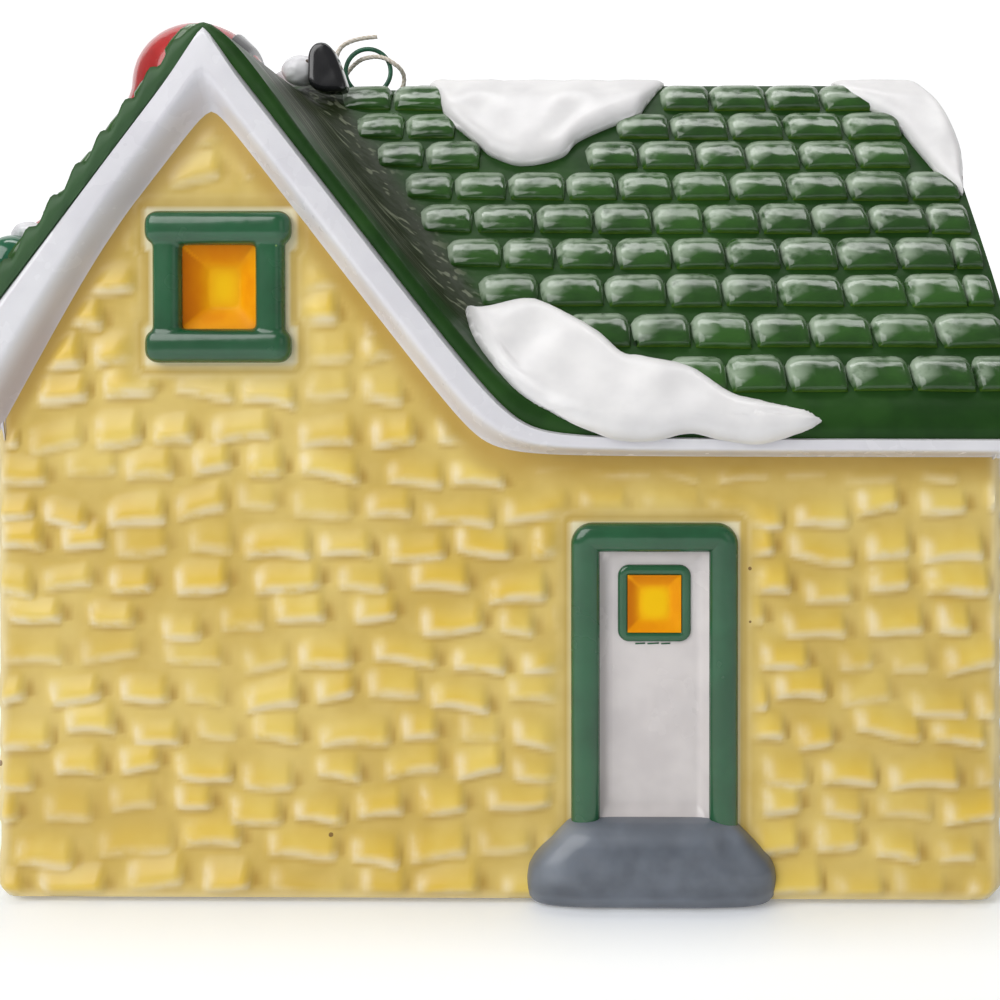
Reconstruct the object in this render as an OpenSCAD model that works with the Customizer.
// Glazed ceramic house ornament: a gable-fronted house with a side wing, snow on the roof,
// a red-suited figure sliding down the far side and a wire ring with a twine tie on the ridge.
// Millimetres, +Z up. The origin is the middle of the underside, between the four walls.

/* [Walls] */
// Width of the house across the front wall
wall_w = 130; // [100:1:170]
// Depth of the house from front wall to rear wall
wall_d = 76; // [60:1:100]
// Thickness of the cast walls
wall_t = 3.6; // [2.6:0.1:5]
// Radius of the upright corners
corner_r = 2.5; // [1:0.1:4]
// Radius of the lower corners of the front and rear walls
foot_r = 3.5; // [1:0.1:5]
// Thickness of the closed floor
floor_t = 3; // [2:0.1:5]
// Diameter of the vent hole in the floor
vent_d = 9; // [5:0.5:14]
// Distance of the vent hole from the middle of the floor
vent_x = 28; // [15:1:40]

/* [Roof] */
// Height of the eaves, at the underside of the roof
eave_z = 60.3; // [48:0.1:72]
// Height of both ridges, at the underside of the roof
ridge_z = 113; // [95:0.5:135]
// Distance of the gable's ridge from the left wall's face
gable_in = 27.7; // [22:0.1:34]
// Thickness of the roof, square to its slope
roof_t = 1.6; // [1.2:0.1:2.4]
// Overhang of the roof past the front and rear walls
verge = 2.5; // [1.5:0.1:4]
// Overhang of the roof past the right wall
end_over = 3.5; // [2:0.1:6]
// Overhang of the roof past the left wall
left_over = 5.5; // [3.5:0.1:8]
// Width of the blunt crest of both ridges
crest_w = 2.1; // [1.4:0.1:2.6]

/* [White trim] */
// Width of the sloping boards, square to the slope
board_w = 5.8; // [4:0.1:7]
// Thickness of the boards and fascias
board_t = 2.3; // [1.2:0.1:2.5]
// Height of the level fascia under the long eaves
fascia_h = 2.7; // [2:0.1:5]
// Height of the white band under the left eave, at the wall
left_band_h = 17; // [10:0.5:22]

/* [Gable window] */
// Distance of the window's middle from the gable's ridge
window_dx = 0.6; // [-3:0.1:3]
// Height of the window's middle
window_z = 79.5; // [72:0.5:84]
// Width of the pane
pane_w = 9.6; // [7:0.1:12]
// Height of the pane
pane_h = 10.8; // [8:0.1:13]
// Width of the upright posts
post_w = 3.8; // [2.5:0.1:4.5]
// Height of the head and sill bars
bar_h = 4.5; // [3:0.1:5]
// Overhang of the head and sill bars past the posts
bar_over = 0.9; // [0.3:0.1:1.5]
// How far the window frame stands out of the wall
frame_t = 2.2; // [1.5:0.1:3]
// Depth of the pane's pocket in the wall
pane_sink = 1.8; // [1.2:0.1:2.2]
// Thickness of the window pane
pane_t = 0.8; // [0.5:0.1:1]

/* [Door] */
// Distance of the door's middle from the middle of the front wall
door_x = 20.5; // [14:0.5:28]
// Width of the door panel
door_w = 14.2; // [11:0.1:17]
// Height of the top of the door panel
door_top = 45.5; // [36:0.5:47]
// Width of the door surround's members
member_w = 3.5; // [2.5:0.1:4.5]
// How far the door surround stands out of the wall
surround_t = 1.6; // [1:0.1:2.5]
// Depth of the door panel's pocket in the wall
door_sink = 1.8; // [1.4:0.1:2.2]
// Thickness of the door panel
door_t = 1.3; // [1:0.1:1.4]
// Width of the pane in the door
light_w = 6.7; // [5:0.1:8]
// Height of the pane in the door
light_h = 7.2; // [5:0.1:9]
// Distance from the door's top to the top of its pane
light_drop = 3.3; // [2:0.1:6]
// Width of the rim round the pane in the door
light_rim = 1; // [0.6:0.1:1.4]
// How far the rim stands out of the door panel
light_rim_t = 0.6; // [0.4:0.1:1]
// Thickness of the pane in the door
light_t = 0.5; // [0.3:0.1:0.7]

/* [Doorstep] */
// Widest part of the doorstep
step_w = 32.4; // [26:0.2:38]
// Width of the doorstep's top
step_top_w = 24; // [20:0.2:28]
// Height of the doorstep
step_h = 10.8; // [8:0.1:13]
// How far the doorstep stands out of the wall
step_d = 5; // [3:0.1:8]

/* [Snow] */
// Thickness of the snow patches
snow_t = 1.7; // [1:0.1:2.5]
// How far the ridge patches reach down the rear slope
snow_back = 7; // [4:0.5:14]

/* [Figure] */
// Radius of the round belly
belly_r = 10.6; // [9:0.1:11]
// Distance of the belly's middle from the gable's ridge, down the slope
belly_down = 11.3; // [11:0.1:13]
// Radius of the chest
chest_r = 8.8; // [7:0.1:9.5]
// Radius of the head
head_r = 6.4; // [5:0.1:7]
// Length of the hat
hat_l = 13; // [9:0.5:14]
// Radius of the pompom
pompom_r = 2.4; // [1.8:0.1:3]
// Radius of the sleeves
sleeve_r = 3; // [2.4:0.1:3.4]
// Length of the sleeves from the shoulder
sleeve_l = 20.5; // [17:0.5:23]
// Radius of the mittens
mitten_r = 3.9; // [3.2:0.1:4.4]
// Radius of the trouser legs
leg_r = 2.1; // [1.6:0.1:2.3]
// Radius of the fur cuffs at the ankles
ankle_r = 2.6; // [2.3:0.1:2.9]
// Distance of each leg from the middle
leg_y = 4.5; // [4.2:0.1:5]
// Length of the boots from heel to toe
boot_l = 8; // [7:0.1:8.6]
// Width of the boots
boot_w = 4.4; // [3.6:0.1:4.6]

/* [Hanger] */
// Diameter of the green wire
wire_d = 0.75; // [0.6:0.05:0.9]
// Diameter of the wire ring, at the middle of its wire
ring_d = 7.4; // [7:0.1:9]
// Distance of the ring's middle from the gable's ridge
ring_in = 11.5; // [11:0.1:16]
// Distance of the ring's pivot behind the main ridge
ring_back = 2.6; // [2.2:0.1:3.4]
// Clear width inside the eye that holds the ring
eye_in = 1.85; // [1.6:0.05:2.2]
// Depth of the eye's legs below the roof's surface
eye_leg = 2.2; // [1.5:0.1:2.5]
// Diameter of the twine
twine_d = 0.7; // [0.5:0.05:0.8]

/* [Fits] */
// Clearance between the figure and the roof
seat_gap = 0.1; // [0.05:0.05:0.3]
// Clearance between pieces of the figure that lie on each other
skin_gap = 0.06; // [0.02:0.01:0.15]
// Clearance between the ring's wire and the eye
ring_gap = 0.2; // [0.15:0.05:0.4]
// Clearance round the eye's legs in the roof
leg_gap = 0.1; // [0.05:0.01:0.15]

/* [Hidden] */
$fn = 48;

// The two roofs share one pitch, set by the depth of the house
left_x = -wall_w / 2;
right_x = wall_w / 2;
front_y = -wall_d / 2;
gable_x = left_x + gable_in;
half_span = wall_d / 2 + verge;
slope = (ridge_z - eave_z) / half_span;
pitch = atan(slope);
slope_l = half_span / cos(pitch);
snow_sunk = 0.5;
roof_rise = roof_t / cos(pitch);
top_z = ridge_z + roof_rise;
crest_z = top_z - slope * crest_w / 2;
roof_left = left_x - left_over;
roof_right = right_x + end_over;
board_rise = board_w / cos(pitch);
fascia_z = eave_z - fascia_h;

// Height of the underside of the gable's roof and of the main roof
function gable_under(x) = ridge_z - slope * abs(x - gable_x);
function main_under(y) = ridge_z - slope * abs(y);

// A margin that carries cuts clear of the faces they pass through
past = 1;

// Window and door, placed on the front wall
window_x = gable_x + window_dx;
bar_w = pane_w + 2 * post_w + 2 * bar_over;
surround_top = door_top + member_w;
light_top = door_top - light_drop;
light_z = light_top - light_h / 2;
panel_face = front_y + door_sink - door_t;

// Snow outlines on the front slope. Ridge and corner: along the ridge, up the slope from the ridge.
// Valley: along the eave from the valley's foot, up the slope from the eave.
ridge_patch = [
    [-15, 0], [-14, -5], [-12.5, -9], [-9, -13], [-4.5, -17], [0, -19.5], [4, -19],
    [7.5, -17], [9, -14.5], [15, -10.5], [18.5, -8.5], [19.5, -5], [22, 0]
];
corner_patch = [
    [-19, 0], [-17, -4.5], [-14, -7], [-10, -9.5], [-8, -13.5], [-6, -18.5], [-4, -22.5],
    [-1, -26], [0, -25], [0, 0]
];
valley_patch = [
    [-8.5, 18.5], [-1.5, 20], [1.5, 19.5], [6, 16.5], [13.5, 10.5], [20, 9.5], [26, 6],
    [31.5, 3], [38, 1.5], [35, 0.5], [28, 0.5], [22, 1], [15, 0.5], [9, 1], [2, 3.5],
    [-2.5, 7], [-5.5, 11.5]
];

// The figure lies on the left slope: up the slope, along the ridge, out from the roof
belly_at = [-belly_down, 0, belly_r + seat_gap];
chest_at = belly_at + [-10.2, 0, chest_r - belly_r + 0.1];
head_at = chest_at + [-11.5, 0, -1];
beard_w = 8;
beard_l = 9;
beard_from = head_at[2] + 1.5;
beard_to = head_at[2] + 6.6;
trim_r = 5.4;
trim_wire = 1.5;
trim_up = 3.4;
hat_dip = 18;
hat_at = head_at + [-3, 0, 0.6];
hat_base_r = 5.6;
hat_tip_r = 1.5;
shoulder_at = chest_at + [-1.5, 4.6, 0.5];
arm_turn = 46.7;
arm_dip = 2.4;
cuff_r = 4.1;
cuff_l = 2.4;
mitten_at = sleeve_l + cuff_l + mitten_r - 0.9;
thumb_r = 1.7;

// The legs lie level across the gable's ridge
belly_x = gable_x - belly_down * cos(pitch) - belly_at[2] * sin(pitch);
belly_z = top_z - belly_down * sin(pitch) + belly_at[2] * cos(pitch);
belt_from = belly_x + belly_r * 0.66;
belt_l = 2.4;
belt_end = belt_from + belt_l;
belt_r = 7.5;
leg_z = crest_z + seat_gap + ankle_r;
cuff_from = gable_x - 2.4;
ankle_l = 5.2;
boot_from = cuff_from + ankle_l;
boot_h = 4.6;
far_leg_back = 2.5;
heel_z = top_z - slope * (leg_y - boot_w / 2) + 3 * seat_gap - leg_z;
shaft_r = 2.2;

// The ring's pivot, just behind the main ridge
ring_x = gable_x + ring_in;
pivot = [ring_x, ring_back, top_z - slope * ring_back + 1.65];
ring_r = ring_d / 2;
wire_r = wire_d / 2;
eye_r = eye_in / 2 + wire_r;
eye_z = pivot[2] + wire_r + ring_gap - eye_in / 2;

// The twine's route, from the ring's middle: right, back, up
twine_route = [
    [1.6, -0.5, 5.6], [0.1, -0.7, 5.4], [-1.4, -0.9, 5.1], [-2.8, -1.1, 4.6], [-4, -1.3, 3.8],
    [-4.7, -1.45, 2.6], [-4.9, -1.55, 1.4], [-4.9, -1.55, 0.2], [-4.9, -1.4, -0.8], [-4.9, -0.95, -1.65],
    [-4.85, -0.15, -2.2], [-4.8, 0.8, -2.25], [-4.7, 1.6, -1.75], [-4.5, 2.05, -0.9], [-4.1, 2.15, 0.05],
    [-3.4, 1.95, 0.9], [-2.4, 1.5, 1.7], [-1.2, 0.9, 2.25], [0.1, 0.3, 2.4], [1.4, -0.4, 2.35],
    [2.6, -0.95, 2.05], [3.6, -1.3, 1.6], [4.6, -1.2, 0.95], [5.4, -0.6, 0.3], [5.8, 0.3, -0.6],
    [5.7, 0.8, -1.8], [5.2, 0.8, -3], [4.6, 0.45, -4]
];
twine_sides = 8;

// A rectangle with round corners, about the middle
module round_rect(w, d, r) {
    square([w - 2 * r, d], center = true);
    square([w, d - 2 * r], center = true);
    for (x = [-1, 1], y = [-1, 1])
        translate([x * (w / 2 - r), y * (d / 2 - r)])
            circle(r);
}

// An outline drawn in the front view, carried back from y_from to y_to
module front_view(y_from, y_to) {
    translate([0, y_to, 0])
        rotate([90, 0, 0])
            linear_extrude(y_to - y_from)
                children();
}

// An outline drawn in the side view (y, z), carried along from x_from to x_to
module side_view(x_from, x_to) {
    translate([x_from, 0, 0])
        rotate([90, 0, 90])
            linear_extrude(x_to - x_from)
                children();
}

// Places children on the front slope of the main roof: x along, y up the slope, z outwards
module on_front_slope() {
    translate([0, 0, top_z])
        rotate([pitch, 0, 0])
            children();
}

// Places children on the left slope of the gable's roof: x up the slope, z outwards
module on_left_slope() {
    translate([gable_x, 0, top_z])
        rotate([0, -pitch, 0])
            children();
}

// The space under both roofs
module under_roof() {
    front_view(-half_span - past, half_span + past)
        polygon([
            [roof_left - past, -past], [roof_left - past, gable_under(roof_left - past)],
            [gable_x, ridge_z], [gable_x + half_span, eave_z], [gable_x + half_span, -past]
        ]);
    side_view(gable_x, roof_right + past)
        polygon([
            [-half_span, -past], [-half_span, eave_z], [0, ridge_z],
            [half_span, eave_z], [half_span, -past]
        ]);
}

// Both roofs as solid blocks, down to the eaves, with blunt crests
module roof_blocks() {
    front_view(-half_span, half_span)
        polygon([
            [roof_left, eave_z], [roof_left, gable_under(roof_left) + roof_rise],
            [gable_x - crest_w / 2, crest_z], [gable_x + crest_w / 2, crest_z],
            [gable_x + half_span, eave_z + roof_rise], [gable_x + half_span, eave_z]
        ]);
    side_view(gable_x, roof_right)
        polygon([
            [-half_span, eave_z], [-half_span, eave_z + roof_rise], [-crest_w / 2, crest_z],
            [crest_w / 2, crest_z], [half_span, eave_z + roof_rise], [half_span, eave_z]
        ]);
}

// The four walls as one casting, with pockets for the window pane and the door
module wall_shell() {
    color("#e0c060")
        difference() {
            intersection() {
                linear_extrude(ridge_z + past)
                    round_rect(wall_w, wall_d, corner_r);
                under_roof();
                front_view(front_y - past, -front_y + past)
                    translate([0, ridge_z])
                        round_rect(wall_w, 2 * ridge_z, foot_r);
            }
            translate([0, 0, -past])
                linear_extrude(ridge_z + 2 * past)
                    round_rect(wall_w - 2 * wall_t, wall_d - 2 * wall_t, corner_r);
            translate([window_x - pane_w / 2, front_y - past, window_z - pane_h / 2])
                cube([pane_w, pane_sink + past, pane_h]);
            translate([door_x - door_w / 2, front_y - past, step_h])
                cube([door_w, door_sink + past, door_top - step_h]);
        }
}

module floor_plate() {
    color("#e8dcc0")
        difference() {
            linear_extrude(floor_t)
                round_rect(wall_w - 2 * wall_t, wall_d - 2 * wall_t, corner_r);
            translate([vent_x, 0, -past])
                cylinder(h = floor_t + 2 * past, d = vent_d);
        }
}

// The roof follows both pitches and is drilled for the eye's legs
module roof_shell() {
    color("#2f5a2a")
        difference() {
            roof_blocks();
            under_roof();
            for (y = [-1, 1])
                translate([ring_x, ring_back + y * eye_r, eave_z])
                    cylinder(h = top_z - eave_z, r = wire_r + leg_gap);
        }
}

// The chevron of sloping boards on one gable, with its splayed left foot
module gable_boards() {
    foot_z = gable_under(left_x) - left_band_h;
    splay_x = gable_x - gable_in * 0.53;
    polygon([
        [roof_left, gable_under(roof_left)], [gable_x, ridge_z], [gable_x + half_span, eave_z],
        [gable_x + half_span, fascia_z],
        [gable_x + (ridge_z - board_rise - fascia_z) / slope, fascia_z],
        [gable_x, ridge_z - board_rise],
        [splay_x, gable_under(splay_x) - board_rise],
        [left_x, foot_z], [roof_left, foot_z]
    ]);
}

// The front boards make room for the window where a steep roof brings them down to it
module front_bargeboard() {
    color("#f2f0ec")
        difference() {
            front_view(front_y - board_t, front_y)
                gable_boards();
            translate([window_x, 0, window_z])
                front_view(front_y - frame_t - past, front_y + past)
                    square([bar_w + 2 * seat_gap, pane_h + 2 * bar_h + 2 * seat_gap], center = true);
        }
}

module rear_bargeboard() {
    color("#f2f0ec")
        front_view(-front_y, -front_y + board_t)
            gable_boards();
}

// The sloping boards on the wing's right end
module end_bargeboard() {
    foot_y = (ridge_z - board_rise - fascia_z) / slope;
    color("#f2f0ec")
        side_view(right_x, right_x + board_t)
            polygon([
                [front_y, main_under(front_y)], [0, ridge_z], [-front_y, main_under(front_y)],
                [-front_y, fascia_z], [foot_y, fascia_z], [0, ridge_z - board_rise],
                [-foot_y, fascia_z], [front_y, fascia_z]
            ]);
}

// A level fascia under one long eave, tucked up to the underside of the roof
module long_fascia() {
    side_view(gable_x + half_span, right_x + board_t)
        polygon([
            [front_y, fascia_z], [front_y, main_under(front_y)],
            [front_y - board_t, main_under(front_y - board_t)], [front_y - board_t, fascia_z]
        ]);
}

module front_fascia() {
    color("#f2f0ec")
        long_fascia();
}

module rear_fascia() {
    color("#f2f0ec")
        mirror([0, 1, 0])
            long_fascia();
}

// The white band under the left eave
module left_fascia() {
    out_x = left_x - board_t;
    color("#f2f0ec")
        front_view(front_y, -front_y)
            polygon([
                [left_x, gable_under(left_x) - left_band_h], [left_x, gable_under(left_x)],
                [out_x, gable_under(out_x)], [out_x, gable_under(left_x) - left_band_h]
            ]);
}

module gable_window_frame() {
    color("#2d6e4b")
        translate([window_x, 0, window_z])
            front_view(front_y - frame_t, front_y) {
                for (side = [-1, 1]) {
                    translate([0, side * (pane_h + bar_h) / 2])
                        round_rect(bar_w, bar_h, bar_h / 2 - 0.2);
                    translate([side * (pane_w + post_w) / 2, 0])
                        square([post_w, pane_h + 0.2], center = true);
                }
            }
}

module gable_window_pane() {
    color("#f5a51d")
        translate([window_x - pane_w / 2, front_y + pane_sink - pane_t, window_z - pane_h / 2])
            cube([pane_w, pane_t, pane_h]);
}

module door_surround() {
    outer_w = door_w + 2 * member_w;
    color("#2d6e4b")
        front_view(front_y - surround_t, front_y)
            translate([door_x, step_h])
                difference() {
                    translate([-outer_w / 2, 0])
                        square([outer_w, surround_top - step_h]);
                    translate([-door_w / 2, -past])
                        square([door_w, door_top - step_h + past]);
                }
}

module door_panel() {
    color("#e9e4e2")
        difference() {
            translate([door_x - door_w / 2, panel_face, step_h])
                cube([door_w, door_t, door_top - step_h]);
            translate([door_x - light_w / 2, panel_face - past, light_z - light_h / 2])
                cube([light_w, light_t + past, light_h]);
        }
}

module door_light_rim() {
    color("#2d6e4b")
        translate([door_x, 0, light_z])
            front_view(panel_face - light_rim_t, panel_face)
                difference() {
                    round_rect(light_w + 2 * light_rim, light_h + 2 * light_rim, light_rim);
                    square([light_w, light_h], center = true);
                }
}

module door_light_pane() {
    color("#f5a51d")
        translate([door_x - light_w / 2, panel_face, light_z - light_h / 2])
            cube([light_w, light_t, light_h]);
}

// A low mound against the wall, blunt all round
module doorstep() {
    belly_z_share = 0.3;
    color("#7d8794")
        intersection() {
            front_view(front_y - step_d, front_y)
                translate([door_x, 0])
                    polygon([
                        [-step_w / 2 + 2, 0], [step_w / 2 - 2, 0], [step_w / 2, step_h * belly_z_share],
                        [step_w / 2 - 1, step_h * 0.62], [step_top_w / 2 + 1, step_h * 0.92],
                        [step_top_w / 2, step_h], [-step_top_w / 2, step_h],
                        [-step_top_w / 2 - 1, step_h * 0.92], [-step_w / 2 + 1, step_h * 0.62],
                        [-step_w / 2, step_h * belly_z_share]
                    ]);
            side_view(door_x - step_w, door_x + step_w)
                polygon([
                    [front_y, 0], [front_y - step_d + 1, 0], [front_y - step_d, step_h * 0.2],
                    [front_y - step_d, step_h * 0.62], [front_y - step_d + 1.6, step_h * 0.9],
                    [front_y - step_d + 3, step_h], [front_y, step_h]
                ]);
        }
}

// A snow patch on the front slope, sunk a little so that the roof cuts its underside
module slope_patch(outline) {
    on_front_slope()
        translate([0, 0, -snow_sunk])
            linear_extrude(snow_t + snow_sunk)
                polygon(outline);
}

// A patch that lies over the ridge: the roof's outline raised by the snow, cut to a plan
module ridge_patch_at(x, outline) {
    first = outline[0][0];
    last = outline[len(outline) - 1][0];
    back = snow_back * cos(pitch);
    snow_rise = snow_t / cos(pitch);
    brow_z = crest_z + snow_t;
    brow_y = (top_z + snow_rise - brow_z) / slope;
    plan = concat(
        [for (p = outline) [p[0], p[1] * cos(pitch)]],
        [[last - 1, back], [first + 1, back]]
    );
    color("#f6f6f6")
        difference() {
            intersection() {
                side_view(x + first - past, x + last + past)
                    polygon([
                        [-half_span, eave_z], [-half_span, eave_z + roof_rise + snow_rise],
                        [-brow_y, brow_z], [brow_y, brow_z],
                        [half_span, eave_z + roof_rise + snow_rise], [half_span, eave_z]
                    ]);
                translate([x, 0, 0])
                    linear_extrude(top_z + snow_t)
                        polygon(plan);
            }
            roof_blocks();
        }
}

module ridge_snow() {
    ridge_patch_at(0, ridge_patch);
}

module corner_snow() {
    ridge_patch_at(roof_right, corner_patch);
}

module valley_snow() {
    color("#f6f6f6")
        difference() {
            translate([gable_x + half_span, 0, 0])
                slope_patch([for (p = valley_patch) p - [0, slope_l]]);
            roof_blocks();
        }
}

// Belly and chest of the coat, grown for a cut that clears them
module coat_body(grow = 0) {
    on_left_slope() {
        translate(belly_at)
            sphere(belly_r + grow);
        translate(chest_at)
            sphere(chest_r + grow);
    }
}

module figure_coat() {
    color("#c0302c")
        coat_body();
}

// The belt's ring round the hips, square to the level legs
module belt_ring(grow) {
    translate([belt_from - grow, 0, belly_z])
        rotate([0, 90, 0])
            cylinder(h = belt_l + 2 * grow, r = belt_r + grow);
}

module figure_belt() {
    $fn = 120;
    color("#1b1b1d")
        difference() {
            belt_ring(0);
            coat_body(skin_gap);
            translate([0, 0, seat_gap])
                roof_blocks();
        }
}

// The far leg is drawn up a little
function set_back(side) = side > 0 ? far_leg_back : 0;

// Places one leg's piece along +X, for the near leg (-1) or the far leg (1)
module at_leg(side, x) {
    translate([x - set_back(side), side * leg_y, leg_z])
        rotate([0, 90, 0])
            children();
}

module figure_legs() {
    color("#c0302c")
        difference() {
            for (side = [-1, 1])
                at_leg(side, cuff_from)
                    mirror([0, 0, 1])
                        cylinder(h = cuff_from - set_back(side) - belt_end + past, r = leg_r);
            coat_body(skin_gap);
            belt_ring(skin_gap);
        }
}

// A fat fur ring with a rounded outside, and room at its end for the boot
module ankle_cuffs() {
    color("#f6f6f6")
        for (side = [-1, 1])
            at_leg(side, cuff_from)
                rotate_extrude()
                    intersection() {
                        translate([ankle_r - ankle_l / 2, ankle_l / 2])
                            circle(ankle_l / 2);
                        square([ankle_r, ankle_l]);
                    }
}

// Boots with the toe up and the sole to the right
module boots() {
    toe_z = heel_z + boot_l;
    color("#1b1b1d")
        difference() {
            for (side = [-1, 1])
                translate([boot_from - set_back(side), side * leg_y, leg_z])
                    front_view(-boot_w / 2, boot_w / 2)
                        polygon([
                            [0, -shaft_r], [1.2, heel_z], [boot_h - 0.4, heel_z],
                            [boot_h, heel_z + 0.6], [boot_h - 2.4, toe_z - 0.6],
                            [boot_h - 3.2, toe_z], [boot_h - 4.2, toe_z - 0.6],
                            [0.6, shaft_r], [0, shaft_r]
                        ]);
            translate([0, 0, seat_gap])
                roof_blocks();
        }
}

// Places one arm's piece along the arm from the shoulder, for either side
module at_arm(side) {
    on_left_slope()
        translate([shoulder_at[0], side * shoulder_at[1], shoulder_at[2]])
            rotate([0, 0, side * (180 - arm_turn)])
                rotate([0, 90 + arm_dip, 0])
                    children();
}

module sleeves() {
    color("#c0302c")
        difference() {
            for (side = [-1, 1])
                at_arm(side)
                    cylinder(h = sleeve_l, r = sleeve_r);
            coat_body(skin_gap);
        }
}

module wrist_cuffs() {
    color("#f6f6f6")
        for (side = [-1, 1])
            at_arm(side)
                translate([0, 0, sleeve_l])
                    cylinder(h = cuff_l, r = cuff_r);
}

// A round mitten with its thumb, cut flat where it meets the cuff
module mittens() {
    color("#1d6a48")
        for (side = [-1, 1])
            at_arm(side)
                difference() {
                    union() {
                        translate([0, 0, mitten_at])
                            sphere(mitten_r);
                        translate([-1.2, side * -mitten_r * 0.8, mitten_at - 0.4])
                            sphere(thumb_r);
                    }
                    translate([0, 0, sleeve_l + cuff_l - mitten_r])
                        cylinder(h = mitten_r, r = 2 * mitten_r);
                }
}

module head_ball(grow = 0) {
    on_left_slope()
        translate(head_at)
            sphere(head_r + grow);
}

module figure_head() {
    color("#eec0a0")
        difference() {
            head_ball();
            coat_body(skin_gap);
        }
}

// A round-ended tongue from the chin over the chest
module beard() {
    color("#f6f6f6")
        difference() {
            on_left_slope()
                translate([head_at[0] + beard_l / 2, 0, beard_from])
                    linear_extrude(beard_to - beard_from)
                        round_rect(beard_l, beard_w, beard_w / 2 - 0.4);
            coat_body(skin_gap);
            head_ball(skin_gap);
        }
}

// The hat's cone, dipping down the slope from the crown
module hat_cone() {
    on_left_slope()
        translate(hat_at)
            rotate([0, -90 - hat_dip, 0])
                cylinder(h = hat_l, r1 = hat_base_r, r2 = hat_tip_r);
}

// The fur band round the head, cut to the head's own curve
module trim_ring(head_cut, r) {
    on_left_slope()
        translate(head_at)
            rotate([0, -90, 0])
                rotate_extrude()
                    difference() {
                        translate([trim_r, trim_up])
                            circle(r);
                        circle(head_cut);
                    }
}

module hat() {
    color("#c0302c")
        difference() {
            hat_cone();
            head_ball(skin_gap);
            trim_ring(head_r - past, trim_wire + skin_gap);
        }
}

module hat_trim() {
    color("#f6f6f6")
        trim_ring(head_r + skin_gap, trim_wire);
}

module pompom() {
    color("#f6f6f6")
        difference() {
            on_left_slope()
                translate(hat_at)
                    rotate([0, -90 - hat_dip, 0])
                        translate([0, 0, hat_l + pompom_r * 0.8])
                            sphere(pompom_r);
            hat_cone();
        }
}

// A staple of wire astride the ring's pivot, with both legs in the roof
module wire_eye() {
    color("#2d6e4b")
        translate([ring_x, ring_back, eye_z]) {
            rotate([90, 0, 90])
                rotate_extrude(angle = 180)
                    translate([eye_r, 0])
                        circle(wire_r);
            for (side = [-1, 1]) {
                foot_z = top_z - slope * (ring_back + side * eye_r) - eye_leg;
                translate([0, side * eye_r, foot_z - eye_z])
                    cylinder(h = eye_z - foot_z, r = wire_r);
            }
        }
}

module wire_ring() {
    color("#2d6e4b")
        translate(pivot + [0, 0, ring_r])
            rotate([90, 0, 0])
                rotate_extrude()
                    translate([ring_r, 0])
                        circle(wire_r);
}

// A round tube swept along a list of points
function tangent(p, i) =
    let (a = p[max(i - 1, 0)], b = p[min(i + 1, len(p) - 1)])
    (b - a) / norm(b - a);
function side_of(t) =
    let (s = cross(t, abs(t[1]) < 0.9 ? [0, 1, 0] : [0, 0, 1]))
    s / norm(s);
function ring_points(p, i, r, n) =
    let (t = tangent(p, i), s = side_of(t), c = cross(t, s))
    [for (k = [0 : n - 1]) p[i] + r * (cos(360 * k / n) * s + sin(360 * k / n) * c)];

module tube(p, r, n) {
    last = len(p) - 1;
    points = [for (i = [0 : last]) each ring_points(p, i, r, n)];
    sides = [
        for (i = [0 : last - 1], k = [0 : n - 1])
            let (a = i * n + k, b = i * n + (k + 1) % n)
            each [[a, a + n, b], [b, a + n, b + n]]
    ];
    caps = [
        [for (k = [0 : n - 1]) k],
        [for (k = [n - 1 : -1 : 0]) last * n + k]
    ];
    polyhedron(points, concat(sides, caps));
}

module twine_tie() {
    color("#d9c4ac")
        translate(pivot + [0, 0, ring_r])
            tube(twine_route, twine_d / 2, twine_sides);
}

wall_shell();
floor_plate();
roof_shell();
front_bargeboard();
rear_bargeboard();
end_bargeboard();
front_fascia();
rear_fascia();
left_fascia();
gable_window_frame();
gable_window_pane();
door_surround();
door_panel();
door_light_rim();
door_light_pane();
doorstep();
ridge_snow();
corner_snow();
valley_snow();
figure_coat();
figure_belt();
figure_legs();
ankle_cuffs();
boots();
sleeves();
wrist_cuffs();
mittens();
figure_head();
beard();
hat();
hat_trim();
pompom();
wire_eye();
wire_ring();
twine_tie();
